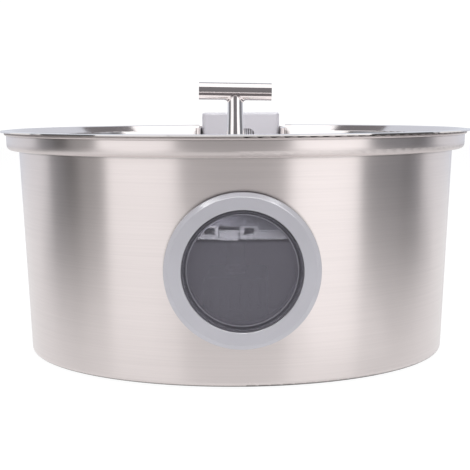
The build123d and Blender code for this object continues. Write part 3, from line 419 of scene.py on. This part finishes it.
MATERIALS = {
    brushed_steel(nodes["bowl"]): ["bowl"],
    polished_steel(): ["drinking_tray", "spout_tee", "spout_nut"],
    fitting_steel(): ["tower_screws", "hose_clips"],
    moulded_plastic("light_grey_abs", srgb(233, 232, 239), roughness=0.34): [
        "filter_cap", "drain_tower",
    ],
    moulded_plastic("window_ring_abs", srgb(197, 196, 203), roughness=0.14, grain=0.03): [
        "window_ring",
    ],
    moulded_plastic("grey_abs", srgb(158, 158, 164), roughness=0.42): [
        "filter_box", "nozzle_socket", "window_backing", "window_nut",
    ],
    moulded_plastic("pale_grey_abs", srgb(205, 205, 206), roughness=0.4): [
        "filter_base", "filter_cassette", "strainer_basket", "lead_clips",
    ],
    moulded_plastic("black_abs", (0.028, 0.028, 0.031), roughness=0.42, grain=0.2): [
        "pump_body", "volute_cover", "intake_cover", "power_socket", "flow_dial", "impeller",
    ],
    smoked_lens(nodes["window_lens"]): ["window_lens"],
    rubber("black_rubber", (0.025, 0.025, 0.026)): [
        "window_gasket", "lens_gasket", "shaft_bushes", "suction_cups", "spout_o_ring",
    ],
    rubber("lead_jacket", (0.02, 0.02, 0.021), roughness=0.45): ["pump_lead"],
    silicone(): ["spout_grommet", "foot_pads", "water_hose"],
    foam("black_foam", (0.035, 0.035, 0.037)): ["pump_sponge", "filter_foam"],
    carbon(): ["carbon_bed"],
    cotton(): ["filter_cotton"],
    ceramic(): ["impeller_shaft"],
    ferrite(): ["rotor_magnet"],
    brass(): ["socket_pin"],
}
for material, names in MATERIALS.items():
    for name in names:
        for slot in nodes[name].material_slots:
            slot.material = material


# ---------------------------------------------------------------- floor and backdrop
def plane(name, size, place, turn):
    """A flat sheet of the given width and height, for the studio only."""
    mesh = bpy.data.meshes.new(name)
    wide, high = size[0] / 2, size[1] / 2
    corners = [(-wide, -high, 0), (wide, -high, 0), (wide, high, 0), (-wide, high, 0)]
    mesh.from_pydata(corners, [], [(0, 1, 2, 3)])
    sheet = bpy.data.objects.new(name, mesh)
    sheet.location = place
    sheet.rotation_euler = turn
    bpy.context.scene.collection.objects.link(sheet)
    return sheet


def glow(name, strength, colour=WHITE):
    """An emitting sheet's material."""
    material = bpy.data.materials.new(name)
    material.use_nodes = True
    tree = material.node_tree
    tree.nodes.clear()
    light = tree.nodes.new("ShaderNodeEmission")
    light.inputs["Color"].default_value = (*colour, 1.0)
    light.inputs["Strength"].default_value = strength
    out = tree.nodes.new("ShaderNodeOutputMaterial")
    tree.links.new(light.outputs["Emission"], out.inputs["Surface"])
    return material


def floor_paint():
    """A white table that glows a little, to stay pale. Reflections show where it ends."""
    material = bpy.data.materials.new("studio_floor")
    material.use_nodes = True
    tree = material.node_tree
    tree.nodes.clear()

    def add(kind, **settings):
        node = tree.nodes.new(kind)
        for key, value in settings.items():
            setattr(node, key, value)
        return node

    def combined(operation, first, second):
        node = add("ShaderNodeMath", operation=operation)
        tree.links.new(first, node.inputs[0])
        tree.links.new(second, node.inputs[1])
        return node.outputs["Value"]

    def inside(axis, low, high):
        """1 where the place along the axis is between low and high, with a soft edge."""
        edges = []
        for limit, sign in ((low, 1), (high, -1)):
            edge = add("ShaderNodeMapRange", interpolation_type="SMOOTHSTEP")
            edge.inputs["From Min"].default_value = limit - sign * TABLE_EDGE
            edge.inputs["From Max"].default_value = limit + sign * TABLE_EDGE
            tree.links.new(split.outputs[axis], edge.inputs["Value"])
            edges.append(edge.outputs["Result"])
        return combined("MULTIPLY", *edges)

    place = add("ShaderNodeTexCoord")
    split = add("ShaderNodeSeparateXYZ")
    tree.links.new(place.outputs["Object"], split.inputs["Vector"])
    across = inside("X", -TABLE_SIDE, TABLE_SIDE)
    front = combined("MULTIPLY", across, inside("Y", -TABLE_FRONT, SWEEP_FRONT))
    on_table = combined("ADD", front, inside("Y", SWEEP_FRONT, SWEEP_BACK))
    strength = add("ShaderNodeMapRange")
    strength.inputs["To Min"].default_value = ROOM_GLOW
    strength.inputs["To Max"].default_value = TABLE_GLOW
    tree.links.new(on_table, strength.inputs["Value"])
    table = add("ShaderNodeEmission")
    tree.links.new(strength.outputs["Result"], table.inputs["Strength"])

    white = add("ShaderNodeEmission")
    white.inputs["Strength"].default_value = FLOOR_WHITE
    paint = add("ShaderNodeBsdfDiffuse")
    paint.inputs["Color"].default_value = FLOOR_PAINT
    seen = add("ShaderNodeMixShader")
    seen.inputs["Fac"].default_value = FLOOR_SHADE
    tree.links.new(white.outputs["Emission"], seen.inputs[1])
    tree.links.new(paint.outputs["BSDF"], seen.inputs[2])

    path = add("ShaderNodeLightPath")
    mix = add("ShaderNodeMixShader")
    tree.links.new(path.outputs["Is Camera Ray"], mix.inputs["Fac"])
    tree.links.new(table.outputs["Emission"], mix.inputs[1])
    tree.links.new(seen.outputs["Shader"], mix.inputs[2])
    out = add("ShaderNodeOutputMaterial")
    tree.links.new(mix.outputs["Shader"], out.inputs["Surface"])
    return material


floor = plane("studio_floor", (FLOOR_SIZE, FLOOR_SIZE), (0, 0, -FLOOR_DROP), (0, 0, 0))
floor.data.materials.append(floor_paint())


# ---------------------------------------------------------------- lights
LAMP_AIM = (0, 0, 0.1)
LEFT_AZIMUTH = -46.9
RIGHT_AZIMUTH = 41.7
BOX_DISTANCE = 1.1
BOX_HEIGHT = 0.62
CHAMBER_SPREAD = 44         # degrees


def around(azimuth, distance, height):
    """A place round the object. Azimuth 0 is towards the camera's side, -Y, and 90 is +X."""
    angle = math.radians(azimuth)
    return Vector((math.sin(angle) * distance, -math.cos(angle) * distance, height))


def softbox(name, azimuth, distance, height, size, radiance, aim=LAMP_AIM, shift=(0, 0, 0)):
    """A rectangular lamp. It turns to aim, and is moved by shift after that."""
    data = bpy.data.lights.new(name, "AREA")
    data.shape = "RECTANGLE"
    data.size, data.size_y = size
    data.energy = radiance * math.pi * size[0] * size[1]
    lamp = bpy.data.objects.new(name, data)
    lamp.location = around(azimuth, distance, height)
    aimed = Vector(aim) - lamp.location
    lamp.rotation_euler = aimed.to_track_quat("-Z", "Y").to_euler()
    lamp.location += Vector(shift)
    lamp.visible_camera = False
    bpy.context.scene.collection.objects.link(lamp)
    return lamp


def light_only(lamp, *names):
    """Limits a lamp to some nodes."""
    group = bpy.data.collections.new(lamp.name + "_group")
    for name in names:
        group.objects.link(nodes[name])
    lamp.light_linking.receiver_collection = group


softbox(
    "left_softbox", LEFT_AZIMUTH, BOX_DISTANCE, BOX_HEIGHT,
    size=(0.76, 1.24), radiance=1.08, aim=(0, 0, BOX_HEIGHT),
)
softbox(
    "right_softbox", RIGHT_AZIMUTH, BOX_DISTANCE, BOX_HEIGHT,
    size=(0.74, 1.24), radiance=1.2, aim=(0, 0, BOX_HEIGHT),
)
softbox(
    "top_softbox", azimuth=180, distance=0.0, height=1.5,
    size=(2.5, 1.7), radiance=1.22, shift=(0, -0.09, 0),
)

# a small lamp inside the bowl, above the window, lights the filter's lower edge and nothing else
chamber_lamp = softbox(
    "chamber_lamp", azimuth=-8, distance=0.086, height=0.126,
    size=(0.08, 0.008), radiance=11.0, aim=(0, -0.058, 0.072),
)
chamber_lamp.data.spread = math.radians(CHAMBER_SPREAD)
light_only(chamber_lamp, "filter_box", "filter_base", "filter_cassette")

# a strip lamp in front draws highlights along the plastic's rounded edges
strip_lamp = softbox(
    "strip_lamp", azimuth=0, distance=1.25, height=1.0, size=(1.6, 0.7), radiance=14.0,
)
strip_lamp.visible_diffuse = False
light_only(strip_lamp, "window_ring", "filter_cap")


# ---------------------------------------------------------------- world
def studio_world():
    """White to the camera, and a dim grey room to everything else."""
    world = bpy.data.worlds.new("studio")
    world.use_nodes = True
    tree = world.node_tree
    tree.nodes.clear()
    out = tree.nodes.new("ShaderNodeOutputWorld")
    white = tree.nodes.new("ShaderNodeBackground")
    white.inputs["Color"].default_value = (*WHITE, 1)
    white.inputs["Strength"].default_value = WORLD_WHITE
    room = tree.nodes.new("ShaderNodeBackground")
    room.inputs["Color"].default_value = WORLD_DIM
    path = tree.nodes.new("ShaderNodeLightPath")
    mix = tree.nodes.new("ShaderNodeMixShader")
    tree.links.new(path.outputs["Is Camera Ray"], mix.inputs["Fac"])
    tree.links.new(room.outputs["Background"], mix.inputs[1])
    tree.links.new(white.outputs["Background"], mix.inputs[2])
    tree.links.new(mix.outputs["Shader"], out.inputs["Surface"])
    bpy.context.scene.world = world


def only_in_reflections(sheet):
    sheet.visible_camera = False
    sheet.visible_diffuse = False
    sheet.visible_shadow = False
    sheet.visible_transmission = False


def card(name, azimuth, distance, width, strength, colour):
    """An upright panel on the table that is seen only in reflections."""
    place = around(azimuth, distance, WALL_HEIGHT / 2)
    panel = plane(name, (width, WALL_HEIGHT), place, (math.radians(90), 0, math.radians(azimuth)))
    panel.data.materials.append(glow(name, strength, colour))
    only_in_reflections(panel)


def paper(name, azimuth, strength):
    """White paper on the table in front of a softbox, seen only in reflections."""
    corners = [
        around(azimuth + side * PAPER_SPREAD, reach, FLOOR_DROP)
        for side, reach in ((-1, PAPER_NEAR), (-1, PAPER_FAR), (1, PAPER_FAR), (1, PAPER_NEAR))
    ]
    mesh = bpy.data.meshes.new(name)
    mesh.from_pydata(corners, [], [(0, 1, 2, 3)])
    mesh.materials.append(glow(name, strength))
    sheet = bpy.data.objects.new(name, mesh)
    bpy.context.scene.collection.objects.link(sheet)
    only_in_reflections(sheet)


paper("left_paper", LEFT_AZIMUTH, strength=1.0)
paper("right_paper", RIGHT_AZIMUTH, strength=1.15)
CARDS = (
    # name, azimuth, distance, width, strength, colour
    ("left_wall", -73, 1.3, 0.505, 0.45, WHITE),
    ("left_dark_flag", -88.75, 1.29, 0.216, 0.07, WHITE),
    ("left_flag", -100.5, 1.3, 0.342, 0.25, COOL),
    ("right_flag", 78, 1.3, 0.86, 0.27, COOL),
    ("right_dark_flag", 92, 1.28, 0.18, 0.18, COOL),
    ("right_wall", 100, 1.3, 0.19, 0.35, COOL),
)
for settings in CARDS:
    card(*settings)

studio_world()
backdrop = plane(
    "studio_backdrop", (BACKDROP_WIDTH, BACKDROP_HEIGHT),
    (0, BACKDROP_DISTANCE, BACKDROP_HEIGHT / 2), (math.radians(90), 0, 0),
)
backdrop.data.materials.append(glow("backdrop_glow", BACKDROP_GLOW, COOL))
backdrop.visible_camera = False


# ---------------------------------------------------------------- camera
def studio_camera():
    data = bpy.data.cameras.new("camera")
    data.sensor_width = SENSOR
    data.lens = FOCAL_PIXELS * SENSOR / IMAGE_WIDTH
    camera = bpy.data.objects.new("camera", data)
    place = around(CAMERA_SIDE, CAMERA_DISTANCE, CAMERA_HEIGHT)
    level = Vector((-place.x, -place.y, 0)).normalized()
    pitch = math.radians(CAMERA_PITCH)
    level = Matrix.Rotation(math.radians(CAMERA_PAN), 3, "Z") @ level
    forward = level * math.cos(pitch) - Vector((0, 0, math.sin(pitch)))
    turn = forward.to_track_quat("-Z", "Y").to_matrix().to_4x4()
    roll = Matrix.Rotation(math.radians(CAMERA_ROLL), 4, "Z")
    camera.matrix_world = Matrix.Translation(place) @ turn @ roll
    bpy.context.scene.collection.objects.link(camera)
    bpy.context.scene.camera = camera


studio_camera()
view = bpy.context.scene.view_settings
view.view_transform = "Standard"
view.look = "None"
